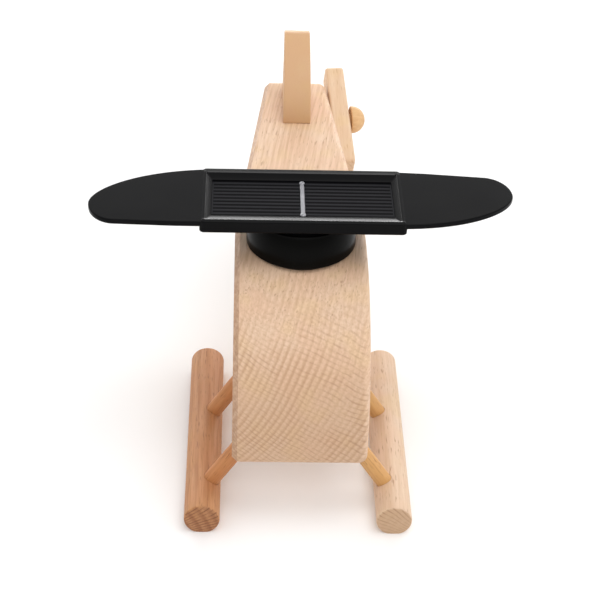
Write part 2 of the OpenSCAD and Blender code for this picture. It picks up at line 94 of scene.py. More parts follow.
def arc(centre, radius, start, end, steps):
    """Points of a round stretch in the plane, angles in degrees, radius one number or two."""
    rx, ry = radius if isinstance(radius, tuple) else (radius, radius)
    angles = np.radians(np.linspace(start, end, steps + 1))
    return [(centre[0] + rx * math.cos(a), centre[1] + ry * math.sin(a)) for a in angles]


def cubic(a, b, c, d, steps):
    """Points of a cubic curve from a to d, pulled towards b and c, without the first one."""
    a, b, c, d = (np.array(p, float) for p in (a, b, c, d))
    u = np.linspace(0, 1, steps + 1)[1:, None]
    curve = (1 - u) ** 3 * a + 3 * u * (1 - u) ** 2 * b + 3 * u * u * (1 - u) * c + u ** 3 * d
    return [tuple(p) for p in curve]


def turned(profile, sides=96):
    """A solid of revolution about Z from a profile of (radius, height), from its foot to its top."""
    turns = [2 * math.pi * k / sides for k in range(sides)]
    return loft([
        [(r * math.cos(t), r * math.sin(t), z) for t in turns] if r > 0 else [(0, 0, z)]
        for r, z in profile])


def prism(outline, low, high):
    """An outline in the XY plane, extruded along Z."""
    return loft([[(x, y, z) for x, y in outline] for z in (low, high)])


def tray_ring(half_l, half_w, corner, z, steps=6):
    """A rectangle with round corners, at height z."""
    centres = [(1, 1, 0), (-1, 1, 90), (-1, -1, 180), (1, -1, 270)]
    return [(x, y, z) for sx, sy, start in centres
            for x, y in arc((sx * (half_l - corner), sy * (half_w - corner)),
                            corner, start, start + 90, steps)]


def moved(shape, place):
    return [tuple(place @ Vector(p)) for p in shape[0]], shape[1]


def basis(origin, z, x):
    """The place whose own Z and X point along z and x."""
    z = Vector(z).normalized()
    y = z.cross(Vector(x)).normalized()
    place = Matrix((y.cross(z), y, z)).transposed().to_4x4()
    place.translation = Vector(origin)
    return place


def mesh_of(name, shape):
    mesh = bpy.data.meshes.new(name)
    mesh.from_pydata(shape[0], [], shape[1])
    work = bmesh.new()
    work.from_mesh(mesh)
    bmesh.ops.recalc_face_normals(work, faces=work.faces)
    work.to_mesh(mesh)
    work.free()
    return mesh


def new_object(name, shape, place=Matrix()):
    made = bpy.data.objects.new(name, mesh_of(name, shape))
    bpy.context.scene.collection.objects.link(made)
    made.matrix_world = place
    return made


def settle(made):
    """Turns the object's modifiers into its own mesh."""
    bpy.context.view_layer.update()
    seen = made.evaluated_get(bpy.context.evaluated_depsgraph_get())
    mesh = bpy.data.meshes.new_from_object(seen)
    made.modifiers.clear()
    made.data = mesh


def soften(made, width, segments=4):
    """Rounds every sharp edge."""
    step = made.modifiers.new("rounding", "BEVEL")
    step.width = width
    step.segments = segments
    step.limit_method = "ANGLE"
    step.angle_limit = SHARP
    settle(made)


def combine(made, shapes, operation):
    """Cuts shapes out of the object, or joins them to it. They are given in its own frame."""
    for shape in shapes:
        tool = new_object("tool", shape, made.matrix_world)
        step = made.modifiers.new("combine", "BOOLEAN")
        step.operation = operation
        step.object = tool
        step.solver = "EXACT"
        settle(made)
        bpy.data.objects.remove(tool)


def dress(made, material, node, inlay=None, inlaid=None):
    """Finishes a piece that stands for a CAD node: shading, material and body, and hides the CAD node. The
    faces that inlaid picks take the inlay's material."""
    made.data.shade_smooth()
    made.data.set_sharp_from_angle(angle=SHARP)
    even = made.modifiers.new("even", "WEIGHTED_NORMAL")
    even.keep_sharp = True
    made.data.materials.clear()
    made.data.materials.append(material)
    if inlay:
        made.data.materials.append(inlay)
        for face in filter(inlaid, made.data.polygons):
            face.material_index = 1
    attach(made, BODY_OF[node])
    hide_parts(node)
    return made


# ---- Materials ----

class Material:
    """A node material built around one Principled shader."""

    def __init__(self, name, **constants):
        self.data = bpy.data.materials.new(name)
        self.data.use_nodes = True
        self.tree = self.data.node_tree
        self.tree.nodes.clear()
        self.shader = self.node("BsdfPrincipled")
        out = self.node("OutputMaterial")
        self.tree.links.new(self.shader.outputs[0], out.inputs[0])
        self.set({key.replace("_", " "): value for key, value in constants.items()})

    def set(self, inputs, node=None):
        for key, value in inputs.items():
            socket = (node or self.shader).inputs[key]
            if isinstance(value, bpy.types.NodeSocket):
                self.tree.links.new(value, socket)
            else:
                socket.default_value = value

    def node(self, kind, inputs=None, **settings):
        made = self.tree.nodes.new("ShaderNode" + kind)
        for key, value in settings.items():
            setattr(made, key, value)
        self.set(inputs or {}, made)
        return made

    def math(self, operation, a, b=0.0):
        return self.node("Math", {0: a, 1: b}, operation=operation).outputs[0]

    def band(self, value, low, high, to_low=0.0, to_high=1.0):
        """A soft step: to_low below low, to_high above high."""
        return self.node("MapRange", {"Value": value, "From Min": low, "From Max": high,
                                      "To Min": to_low, "To Max": to_high},
                         interpolation_type="SMOOTHSTEP").outputs[0]

    def noise(self, vector, scale=1.0, detail=2.0):
        return self.node("TexNoise", {"Vector": vector, "Scale": scale, "Detail": detail}).outputs[0]

    def stretch(self, vector, scale):
        return self.node("VectorMath", {0: vector, 1: scale}, operation="MULTIPLY").outputs[0]

    def mix(self, share, a, b):
        return self.node("Mix", {0: share, 6: a, 7: b}, data_type="RGBA").outputs[2]

    def bump(self, height, distance, strength=1.0):
        self.set({"Normal": self.node("Bump", {"Height": height, "Distance": distance,
                                               "Strength": strength}).outputs[0]})

    def place(self):
        """The place on the piece, in millimetres."""
        return self.stretch(self.node("TexCoord").outputs["Object"], (1 / MM,) * 3)


def rgb(red, green, blue):
    """A screen colour from 0 to 255, as the linear colour that a shader takes."""
    return (*[((c / 255 + 0.055) / 1.055) ** 2.4 for c in (red, green, blue)], 1)


def wood(name, heart, grain, pale, late, fleck, ring=1.85, rings=0.5, rays=0.5, dashes=0.5,
         ray_gap=1.4, ends=0.3, planed_and_shaded=0):
    """Solid timber cut from a log. heart is a point on its pith and grain runs along it; pale, late and
    fleck are the colours of the wood, its growth rings and its rays. Across the grain the rays show as
    fine strokes from the pith, ray_gap apart, and along the grain as short dashes. Rings are ring apart,
    and rings, rays and dashes say how strongly each shows. ends is how much darker the end grain is, and
    planed_and_shaded how much the facets that face left at a slant are darkened, in ragged patches:
    partly rough planed wood and partly painted shade on the side away from the light."""
    m = Material(name, IOR=1.45)
    spot = m.node("TexCoord").outputs
    along = Vector(grain).normalized()
    log = m.node("Mapping", {"Vector": spot["Object"], "Location": Vector(heart), "Scale": (MM, MM, MM),
                             "Rotation": along.to_track_quat("Z", "Y").to_euler()},
                 vector_type="TEXTURE").outputs[0]
    drift = m.node("TexNoise", {"Vector": m.stretch(log, (1, 1, 0.3)), "Scale": 0.04, "Detail": 1.0})
    drift = m.node("VectorMath", {0: drift.outputs["Color"], 1: (0.5, 0.5, 0.5)}, operation="SUBTRACT")
    log = m.node("VectorMath", {0: drift.outputs[0], 1: (2.5, 2.5, 2.5), 2: log},
                 operation="MULTIPLY_ADD").outputs[0]
    axes = m.node("SeparateXYZ", {0: log}).outputs
    radius = m.node("VectorMath", {0: m.stretch(log, (1, 1, 0))}, operation="LENGTH").outputs["Value"]
    reach = max(Vector(heart).length / MM, 15)
    along_ring = m.math("MULTIPLY", m.math("ARCTAN2", axes[1], axes[0]), reach)
    facing = m.node("VectorMath", {0: spot["Normal"], 1: along}, operation="DOT_PRODUCT").outputs["Value"]
    facing = m.math("ABSOLUTE", facing)
    end_grain = m.band(facing, 0.3, 0.8)

    phase = m.math("FRACT", m.math("DIVIDE", radius, ring))
    late_wood = m.math("MULTIPLY", m.band(phase, 0.2, 0.7), m.band(phase, 0.75, 1, 1, 0))
    late_wood = m.math("MULTIPLY", late_wood, m.band(m.noise(log, 0.07, 1), 0.35, 0.65, 0.35, 1))

    sway = m.math("MULTIPLY", m.noise(m.stretch(log, (0.1, 0.1, 0.1)), 1, 1), 1.5)
    stroke = m.math("FRACT", m.math("ADD", m.math("DIVIDE", along_ring, ray_gap), sway))
    stroke = m.math("MULTIPLY", m.band(stroke, 0.15, 0.42), m.band(stroke, 0.42, 0.7, 1, 0))
    ray_at = m.node("CombineXYZ", {0: m.math("DIVIDE", along_ring, 0.9), 1: m.math("DIVIDE", radius, 3.5),
                                   2: m.math("DIVIDE", axes[2], 6)}).outputs[0]
    broken = m.band(m.noise(ray_at, 1, 1), 0.35, 0.6, 0.3, 1)
    broken = m.math("MULTIPLY", broken, m.band(m.noise(log, 0.06, 1), 0.4, 0.6, 0.55, 1))
    ray = m.math("MULTIPLY", m.math("MULTIPLY", stroke, broken), end_grain)
    dash = m.band(m.noise(m.stretch(log, (2.6, 2.6, 0.27)), 1, 1), 0.58, 0.74)
    dash = m.math("MULTIPLY", dash, m.band(m.noise(log, 0.16, 1), 0.35, 0.6, 0.25, 1))
    fibre = m.noise(m.stretch(log, (1.7, 1.7, 0.06)), 1, 3)
    patch = m.band(m.noise(log, 0.08, 2), 0.35, 0.65)

    blush = [c * k for c, k in zip(pale[:3], (0.985, 0.93, 0.9))] + [1]
    warm = [c * k for c, k in zip(pale[:3], (1, 0.98, 0.88))] + [1]
    colour = m.mix(patch, blush, pale)
    colour = m.mix(m.band(m.noise(log, 0.13, 1), 0.45, 0.75), colour, warm)
    colour = m.mix(m.band(fibre, 0.35, 0.72, 0, 0.3), colour, late)
    colour = m.mix(m.band(facing, 0.6, 1, 0, ends), colour, late)
    colour = m.mix(m.math("MULTIPLY", late_wood, m.band(end_grain, 0, 1, 0.5 * rings, rings)), colour, late)
    colour = m.mix(m.math("MULTIPLY", ray, rays), colour, fleck)
    colour = m.mix(m.math("MULTIPLY", dash, m.band(end_grain, 0, 1, dashes, 0.35 * dashes)), colour, fleck)
    # Painted shade: facets that face left at a slant are darkened in ragged patches, partly as rough planed wood
    # and partly as the shade of the side away from the light.
    if planed_and_shaded:
        left = m.math("MULTIPLY", m.node("SeparateXYZ", {0: spot["Normal"]}).outputs[0], -1)
        shaded_slant = m.math("MULTIPLY", m.band(left, 0.4, 0.6), m.band(left, 0.85, 0.97, 1, 0))
        rags = m.band(m.noise(m.stretch(log, (1.4, 1.4, 0.6)), 1, 3), 0.3, 0.7, 0.45, 1)
        colour = m.mix(m.math("MULTIPLY", m.math("MULTIPLY", shaded_slant, rags), planed_and_shaded), colour, fleck)
    m.set({"Base Color": colour, "Roughness": m.band(fibre, 0.2, 0.8, 0.5, 0.7)})
    relief = m.math("ADD", m.math("MULTIPLY", ray, -0.5), m.math("MULTIPLY", dash, -0.6))
    m.bump(m.math("ADD", relief, m.math("MULTIPLY", fibre, 0.5)), 0.04 * MM, 0.5)
    return m.data


def plastic(name, colour, rough, grain=0.01, grain_size=0.16, shine=0.5):
    """Moulded plastic with a fine spark texture, faint handling marks and rubbed edges."""
    m = Material(name, IOR=1.5, Specular_IOR_Level=shine)
    at = m.place()
    smudge = m.noise(at, 0.07, 3)
    edge = m.band(m.node("NewGeometry").outputs["Pointiness"], 0.52, 0.62)
    worn = [min(1, c * 1.8 + 0.01) for c in colour[:3]] + [1]
    tone = m.mix(m.band(smudge, 0.2, 0.8), colour, [c * 0.85 for c in colour[:3]] + [1])
    m.set({"Base Color": m.mix(m.math("MULTIPLY", edge, 0.6), tone, worn),
           "Roughness": m.band(smudge, 0.2, 0.8, rough - 0.02, rough + 0.03)})
    m.bump(m.noise(at, 1 / grain_size, 2), grain * MM, 0.6)
    return m.data


def metal(name, colour, rough, lay=(9, 9, 0.5), tarnish=0.25):
    """Plated or bare metal with a lay of fine scratches and uneven tarnish."""
    m = Material(name, Metallic=1.0)
    at = m.place()
    scratches = m.noise(m.stretch(at, lay), 1, 3)
    dull = m.band(m.noise(at, 0.35, 3), 0.35, 0.75, 0, tarnish)
    dark = [c * 0.55 for c in colour[:3]] + [1]
    m.set({"Base Color": m.mix(dull, colour, dark),
           "Roughness": m.band(scratches, 0.25, 0.8, rough - 0.06, rough + 0.16)})
    m.bump(scratches, 0.006 * MM, 0.5)
    return m.data


def silicon():
    """The cell's dark face under its clear coat, with a faint crystal mottle."""
    m = Material("cell_face", IOR=1.5, Specular_IOR_Level=0.01)
    at = m.place()
    grains = m.noise(m.stretch(at, (1, 1, 0)), 0.5, 3)
    m.set({"Base Color": m.mix(m.band(grains, 0.3, 0.7), rgb(7, 7, 9), rgb(11, 11, 13)),
           "Roughness": m.band(grains, 0.3, 0.7, 0.36, 0.5)})
    m.bump(m.noise(at, 3, 2), 0.004 * MM, 0.5)
    return m.data


ALONG_Z = (0, 0, 1)
# The block's left-facing slant facets get painted shade, mixed with rough planed patches.
BEECH = wood("beech_block", (-72 * MM, 0, 82 * MM), (0.13, 0.99, 0), rgb(224, 193, 165),
             rgb(180, 139, 104), rgb(150, 106, 76), rings=0.56, rays=0.4, ends=0.36, planed_and_shaded=0.6)
BEECH_PLANK = wood("beech_plank", (8 * MM, 60 * MM, -26 * MM), (1, 0, 0), rgb(226, 199, 169),
                   rgb(206, 168, 130), rgb(180, 134, 94), ring=1.6, rings=0.4, dashes=0.45)
BEECH_FIN = wood("beech_fin_wood", (30 * MM, 0.1, 0.02), (0, 0.4, 0.92), rgb(206, 167, 127),
                 rgb(206, 165, 124), rgb(186, 142, 100), ring=3.5, rings=0.15, rays=0.1, dashes=0.15)
# The left rod's darker, redder beech is partly its own colour and partly painted shade of the side away from the
# light.
BEECH_LEFT_SHADED = wood("beech_red_shaded_rod", (-21 * MM, 11 * MM, 0), ALONG_Z, rgb(193, 140, 96),
                  rgb(140, 86, 53), rgb(112, 66, 40), ring=2.8, rings=0.66, rays=0.85, ray_gap=0.95)
BEECH_RIGHT = wood("beech_pale_rod", (14 * MM, 9 * MM, 0), ALONG_Z, rgb(220, 193, 167),
                   rgb(192, 156, 122), rgb(152, 110, 78), ring=2.4, rings=0.4, rays=0.6, dashes=0.65,
                   ray_gap=1.1, ends=0.75)
DOWEL = wood("dowel_wood", (9 * MM, 4 * MM, 0), ALONG_Z, rgb(214, 168, 108), rgb(186, 128, 72),
             rgb(142, 90, 46), ring=1.3, rings=0.55, rays=0.3, dashes=0.7)
# The left struts' darker, redder dowel wood is painted shade of the side away from the light.
DOWEL_LEFT_SHADED = wood("dowel_red_shaded_wood", (9 * MM, 5 * MM, 0), ALONG_Z, rgb(198, 137, 86), rgb(164, 100, 56),
                  rgb(120, 68, 36), ring=1.3, rings=0.55, rays=0.3, dashes=0.7)
PEG = wood("peg_wood", (7 * MM, 5 * MM, 0), ALONG_Z, rgb(223, 184, 135), rgb(196, 146, 94),
           rgb(160, 112, 66), ring=1.6, rings=0.35, rays=0.2, ends=0.1)
BLACK = plastic("black_moulding", rgb(15, 15, 16), 0.22, grain=0.003, shine=0.05)
POLISHED = plastic("black_polished_brow", rgb(12, 12, 13), 0.24, grain=0.003)
BASE_BLACK = plastic("black_base", rgb(7, 7, 6), 0.3, grain=0.003, shine=0.05)
WHITE = plastic("white_end_cap", rgb(216, 214, 204), 0.5)
FERRITE = plastic("ground_ferrite", rgb(62, 62, 66), 0.6, grain=0.02, grain_size=0.3)
BOARD = plastic("board_green", rgb(38, 72, 50), 0.45, grain=0.008, grain_size=0.5)
RED = plastic("lead_insulation_red", rgb(176, 28, 24), 0.5, grain_size=0.3)
LEAD_BLACK = plastic("lead_insulation_black", rgb(30, 30, 31), 0.5, grain_size=0.3)
PRINT = plastic("printed_finger", rgb(20, 20, 23), 0.36, grain=0.003, shine=0.02)
SILICON = silicon()
STEEL = metal("plated_steel", rgb(190, 191, 194), 0.3)
BRASS = metal("brass", rgb(206, 172, 104), 0.32)
COPPER = metal("copper", rgb(200, 132, 92), 0.3, lay=(6, 6, 6))
SOLDER = metal("tinned_ribbon", rgb(160, 160, 164), 0.34, lay=(7, 0.8, 7), tarnish=0.4)


# ---- Wooden pieces ----

# A strut's foot and top are measured from its skid's axis, along the strut.
STRUTS = ("strut_front_left", "strut_front_right", "strut_rear_left", "strut_rear_right")
STRUT_R = 2.45 * MM
STRUT_FOOT, STRUT_TOP = -1.5 * MM, 30.5 * MM
STRUT_SLOPE = math.radians(57)
SKID_R, SKID_AXIS, SKID_ROUND = 5.2 * MM, 4.6 * MM, 0.55 * MM

# The peg goes PEG_DEPTH into the tail. Its head and the plank stand out from the tail's side.
PEG_R, PEG_DEPTH = 2 * MM, 12 * MM
PEG_HEAD_R, PEG_HEAD_H = 4.6 * MM, 5 * MM
PLANK_GAP, PLANK_T, HEAD_GAP = 0.8 * MM, 6.2 * MM, 0.7 * MM
PLANK_L, PLANK_W, PLANK_CORNER = 39 * MM, 8.6 * MM, 1.5 * MM
PLANK_TILT = math.radians(26)

# The rotor base's spigot and its boss sit in the body.
BASE_SPIGOT_R, BASE_BOSS_R = 14.7 * MM, 3.4 * MM

# A cutter's open end stands this far out, well clear of what it cuts.
CLEAR = 8 * MM


def cutter(radius, low, high, sides=96):
    """A plain round cutter along Z."""
    return turned([(0, low), (radius, low), (radius, high), (0, high)], sides)


def fuselage():
    """The beech block: quarter-ellipse nose, flat top, tapered sides and an underside that sweeps up.
    Its right edges are rounded; the left ones were only planed off at a slant."""
    low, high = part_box("fuselage")
    half = (high.x - low.x) / 2
    nose_run, nose_rise = 43.3 * MM, 39.2 * MM
    taper_at, taper_blend, tail_half = low.y + 59.5 * MM, 10 * MM, 10 * MM
    taper = (half - tail_half) / (high.y - taper_at)
    sweep_from, sweep_to = low.y + 49.3 * MM, low.y + 113.3 * MM
    tail_under = high.z - 17.2 * MM
    chin, heel, edge, slant = 3.5 * MM, 4 * MM, 2.5 * MM, 1.5 * MM
    nose_steps, chin_steps, flat_steps, run_steps, round_steps, columns = 56, 10, 46, 80, 9, 7

    def half_width(y):
        u = y - taper_at + taper_blend
        if u < 0:
            return half
        return half - taper * (u * u / (4 * taper_blend) if u < 2 * taper_blend else u - taper_blend)

    def under(y):
        u = min(1, max(0, (y - sweep_from) / (sweep_to - sweep_from)))
        return low.z + (tail_under - low.z) * u * u * (3 - 2 * u)

    nose_end = low.y + nose_run
    run = list(np.linspace(nose_end, high.y - heel, run_steps + 1)[1:])
    upper = (arc((nose_end, high.z - nose_rise), (nose_run, nose_rise), 180, 90, nose_steps)
             + [(y, high.z) for y in run]
             + arc((high.y - heel, high.z - heel), heel, 90, 0, chin_steps)[1:])
    lower = (arc((low.y + chin, low.z + chin), chin, 180, 270, chin_steps)
             + [(y, low.z) for y in np.linspace(low.y + chin, nose_end, flat_steps + 1)[1:]]
             + [(y, under(y)) for y in run]
             + arc((high.y - heel, tail_under + heel), heel, 270, 360, chin_steps)[1:])
    outline = np.array(upper + lower[::-1])
    tangent = np.roll(outline, -1, 0) - np.roll(outline, 1, 0)
    inwards = np.stack([tangent[:, 1], -tangent[:, 0]], 1)
    inwards /= np.linalg.norm(inwards, axis=1)[:, None]

    def ring(side, inset, narrower):
        return [(side * (half_width(y) - narrower), y, z) for y, z in outline + inwards * inset]

    rings = [ring(-1, slant * (1 - u), slant * u) for u in np.linspace(0, 1, 4)]
    for share in np.linspace(-1, 1, columns + 2)[1:-1]:
        rings.append([(share * (half_width(y) - edge), y, z) for y, z in outline])
    for turn in np.linspace(0, math.pi / 2, round_steps + 1):
        rings.append(ring(1, edge * (1 - math.cos(turn)), edge * (1 - math.sin(turn))))
    points, faces = loft(rings)
    faces = faces[:-2]
    count = len(outline)
    for start in (0, len(points) - count):
        for i in range(len(upper) - 1):
            faces.append([start + k for k in (i, i + 1, count - 2 - i, count - 1 - i)])
    made = new_object("fuselage_block", (points, faces))
    combine(made, fuselage_bores(high.z), "DIFFERENCE")
    return dress(made, BEECH, "fuselage")


def fuselage_bores(top):
    """Cutters for the rotor base's seat, the struts and the peg, with a gap for glue."""
    gap, strut_end, peg_end = 0.05 * MM, 0.5 * MM, 0.2 * MM
    seat_low, boss_low = top - 4.75 * MM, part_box("rotor_base")[0].z - gap
    seat_r, boss_r = BASE_SPIGOT_R + gap, BASE_BOSS_R + gap
    seat = turned([(0, boss_low), (boss_r, boss_low), (boss_r, seat_low), (seat_r, seat_low),
                   (seat_r, top + CLEAR), (0, top + CLEAR)])
    cutters = [moved(seat, HUB_PLACE)]
    for node in STRUTS:
        cutters.append(moved(cutter(STRUT_R + gap, CLEAR, STRUT_TOP + strut_end), strut_place(node)))
    cutters.append(moved(cutter(PEG_R + gap, -PEG_DEPTH - peg_end, CLEAR, 48), peg_place()))
    return cutters


def skid(node, name, material):
    """A round rod along Y, planed flat underneath, with its end edges eased."""
    low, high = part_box(node)
    length, gap = high.y - low.y, 0.1 * MM
    start = [(0, 0)] + [(SKID_R - SKID_ROUND + x, SKID_ROUND + z) for x, z in
                        arc((0, 0), SKID_ROUND, -90, 0, 4)]
    finish = [(r, length - z) for r, z in start[::-1]]
    middle = [(SKID_R, z) for z in np.linspace(SKID_ROUND, length - SKID_ROUND, 24)[1:-1]]
    points, faces = turned(start + middle + finish, 128)
    points = [(x, min(y, SKID_AXIS), z) for x, y, z in points]
    place = basis(((low.x + high.x) / 2, low.y, SKID_AXIS), (0, 1, 0), (1, 0, 0))
    made = new_object(name, (points, faces), place)
    back = place.inverted()
    for strut in STRUTS:
        if ("left" in strut) == ("left" in node):
            bore = cutter(STRUT_R + gap, STRUT_FOOT - gap, CLEAR)
            combine(made, [moved(bore, back @ strut_place(strut))], "DIFFERENCE")
    return dress(made, material, node)


def strut_place(node):
    """Where a strut stands: on its skid's axis, leaning in towards the body."""
    low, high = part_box(node)
    side = -1 if "left" in node else 1
    skid_low, skid_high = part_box("skid_left" if side < 0 else "skid_right")
    lean = Vector((-side * math.cos(STRUT_SLOPE), 0, math.sin(STRUT_SLOPE)))
    origin = ((skid_low.x + skid_high.x) / 2, (low.y + high.y) / 2, SKID_AXIS)
    return basis(origin, lean, (0, 1, 0))


def strut(node, spin):
    """A dowel with eased ends. spin turns it about its own axis, so that each shows other grain."""
    ease = 0.4 * MM
    profile = [(0, STRUT_FOOT), (STRUT_R - ease, STRUT_FOOT), (STRUT_R, STRUT_FOOT + ease)]
    profile += [(STRUT_R, z) for z in np.linspace(STRUT_FOOT + ease, STRUT_TOP - ease, 10)[1:]]
    profile += [(STRUT_R - ease, STRUT_TOP), (0, STRUT_TOP)]
    place = strut_place(node) @ Matrix.Rotation(spin, 4, "Z")
    made = new_object(node + "_dowel", turned(profile, 64), place)
    # Left struts take the dowel wood that carries painted shade.
    return dress(made, DOWEL_LEFT_SHADED if "left" in node else DOWEL, node)


def tail_fin():
    """The fin: an arched leading edge, a short tip, a hollow trailing edge, thinner towards the top."""
    low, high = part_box("tail_fin")
    height, sweep, turn = 21.3 * MM, 23.8 * MM, math.radians(70)
    foot_l, tip_l, tip_drop = 23.2 * MM, 3.4 * MM, 1 * MM
    foot_half, top_half = 4.5 * MM, 4.2 * MM
    rise, reach = height / math.sin(turn), sweep / (1 - math.cos(turn))
    front = [(reach * (1 - math.cos(a)), rise * math.sin(a)) for a in np.linspace(0, turn, 40)]
    tip = (sweep + tip_l, height - tip_drop)
    rear = cubic(tip, (tip[0] - 4 * MM, tip[1] - 5 * MM), (foot_l - 3.5 * MM, 7 * MM), (foot_l, 0), 28)
    outline = front + [tip] + rear
    rings = []
    for side in (-1, 1):
        rings.append([(side * (foot_half + (top_half - foot_half) * z / height), low.y + y, low.z + z)
                      for y, z in outline])
    made = new_object("tail_fin_board", loft(rings))
    soften(made, 0.35 * MM, 4)
    return dress(made, BEECH_FIN, "tail_fin")


def peg_place():
    """The peg's place: Z straight out from the side of the tail, X along the tail rotor."""
    joint = JOINT["tail_rotor_spin"]
    axis = Vector(joint["axis"]).normalized()
    level = Vector((-axis.y, axis.x, 0)).normalized()
    along = math.cos(PLANK_TILT) * level + math.sin(PLANK_TILT) * Vector((0, 0, 1))
    return basis(joint["pos_m"], axis, along)


def tail_rotor():
    """A short plank with soft edges and a round hole for its peg."""
    outline = [(x, y) for x, y, z in tray_ring(PLANK_L / 2, PLANK_W / 2, PLANK_CORNER, 0, 10)]
    made = new_object("tail_rotor_plank", prism(outline, PLANK_GAP, PLANK_GAP + PLANK_T), peg_place())
    soften(made, 0.9 * MM, 6)
    play = 0.08 * MM
    combine(made, [cutter(PEG_R + play, 0, CLEAR, 64)], "DIFFERENCE")
    return dress(made, BEECH_PLANK, "tail_rotor")


def tail_rotor_peg():
    """A turned peg: straight shank, flat under the head and a domed top."""
    head, lip, ease = PLANK_GAP + PLANK_T + HEAD_GAP, 0.5 * MM, 0.3 * MM
    profile = [(0, -PEG_DEPTH), (PEG_R - ease, -PEG_DEPTH), (PEG_R, ease - PEG_DEPTH), (PEG_R, 0),
               (PEG_R, head), (PEG_HEAD_R - lip, head)]
    profile += arc((PEG_HEAD_R - lip, head + lip), lip, -90, 0, 6)[1:]
    profile += arc((0, head + lip), (PEG_HEAD_R, PEG_HEAD_H - lip), 0, 88, 28)[1:]
    profile += [(0, head + PEG_HEAD_H)]
    made = new_object("tail_rotor_peg_turned", turned(profile), peg_place())
    return dress(made, PEG, "tail_rotor_peg")


# ---- Main rotor ----

# The tray's and the window's sizes are halves. BLADE_TIP is the blade's reach from the hub.
HALF_TRAY = 29.6 * MM
WINDOW = (26.4 * MM, 9.8 * MM)
BLADE_TIP, BLADE_T = 61.8 * MM, 1.6 * MM


def rotor_base():
    """The fixed bowl: a spigot in the wood, a curved outside, and a rim round the motor's cup."""
    low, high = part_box("rotor_base")
    wood_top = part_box("fuselage")[1].z
    height, rim_h, curve_in = high.z - wood_top, 2.2 * MM, 1.7 * MM
    foot_r, mouth_r, bore_r = 16.1 * MM, 13.5 * MM, 13.8 * MM
    floor, floor_t, boss_up = low.z + 6 * MM, 1.4 * MM, 0.7 * MM
    shaft_r, ease, mouth_depth, funnel = 1 * MM, 0.35 * MM, 1 * MM, 0.5 * MM
    outside = [(foot_r - curve_in * u * u, wood_top + rim_h + (height - rim_h) * u)
               for u in np.linspace(0, 0.96, 24)]
    top_r = outside[-1][0]
    profile = [(0, low.z), (BASE_BOSS_R, low.z), (BASE_BOSS_R, floor - floor_t),
               (BASE_SPIGOT_R, floor - floor_t), (BASE_SPIGOT_R, wood_top), (foot_r - ease, wood_top),
               (foot_r, wood_top + ease)]
    profile += outside + arc((top_r - ease, high.z - ease), ease, 0, 90, 6)
    profile += arc((mouth_r + ease, high.z - ease), ease, 90, 180, 6)
    profile += [(mouth_r, high.z - mouth_depth), (bore_r, high.z - mouth_depth - funnel), (bore_r, floor),
                (BASE_BOSS_R, floor), (BASE_BOSS_R, floor + boss_up), (0, floor + boss_up)]
    made = new_object("rotor_base_bowl", turned(profile, 160), HUB_PLACE)
    combine(made, [cutter(shaft_r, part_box("motor_shaft")[0].z, high.z, 48)], "DIFFERENCE")
    return dress(made, BASE_BLACK, "rotor_base")


def blade_outline():
    """One blade in plan: a nearly straight edge, a round tip and a long curved edge."""
    root, half_w = 28.8 * MM, 14.6 * MM
    corner, tip, heel = (54.5 * MM, 13.2 * MM), (BLADE_TIP, 3.6 * MM), (root, -half_w)
    pull = [(corner[0] + 4.1 * MM, corner[1] - 0.6 * MM), (tip[0], tip[1] + 5 * MM),
            (tip[0], tip[1] - 6.6 * MM), (50 * MM, -13.4 * MM)]
    plan = [(root, half_w), (root + 8 * MM, half_w - 0.2 * MM), corner]
    return plan + cubic(corner, pull[0], pull[1], tip, 30) + cubic(tip, pull[2], pull[3], heel, 44)


def blade_shape():
    """One blade with soft edges. Its top is at height zero."""
    blade = new_object("blade", prism(blade_outline(), -BLADE_T, 0))
    soften(blade, 0.35 * MM, 4)
    shape = ([v.co.copy() for v in blade.data.vertices], [list(f.vertices) for f in blade.data.polygons])
    bpy.data.objects.remove(blade)
    return shape


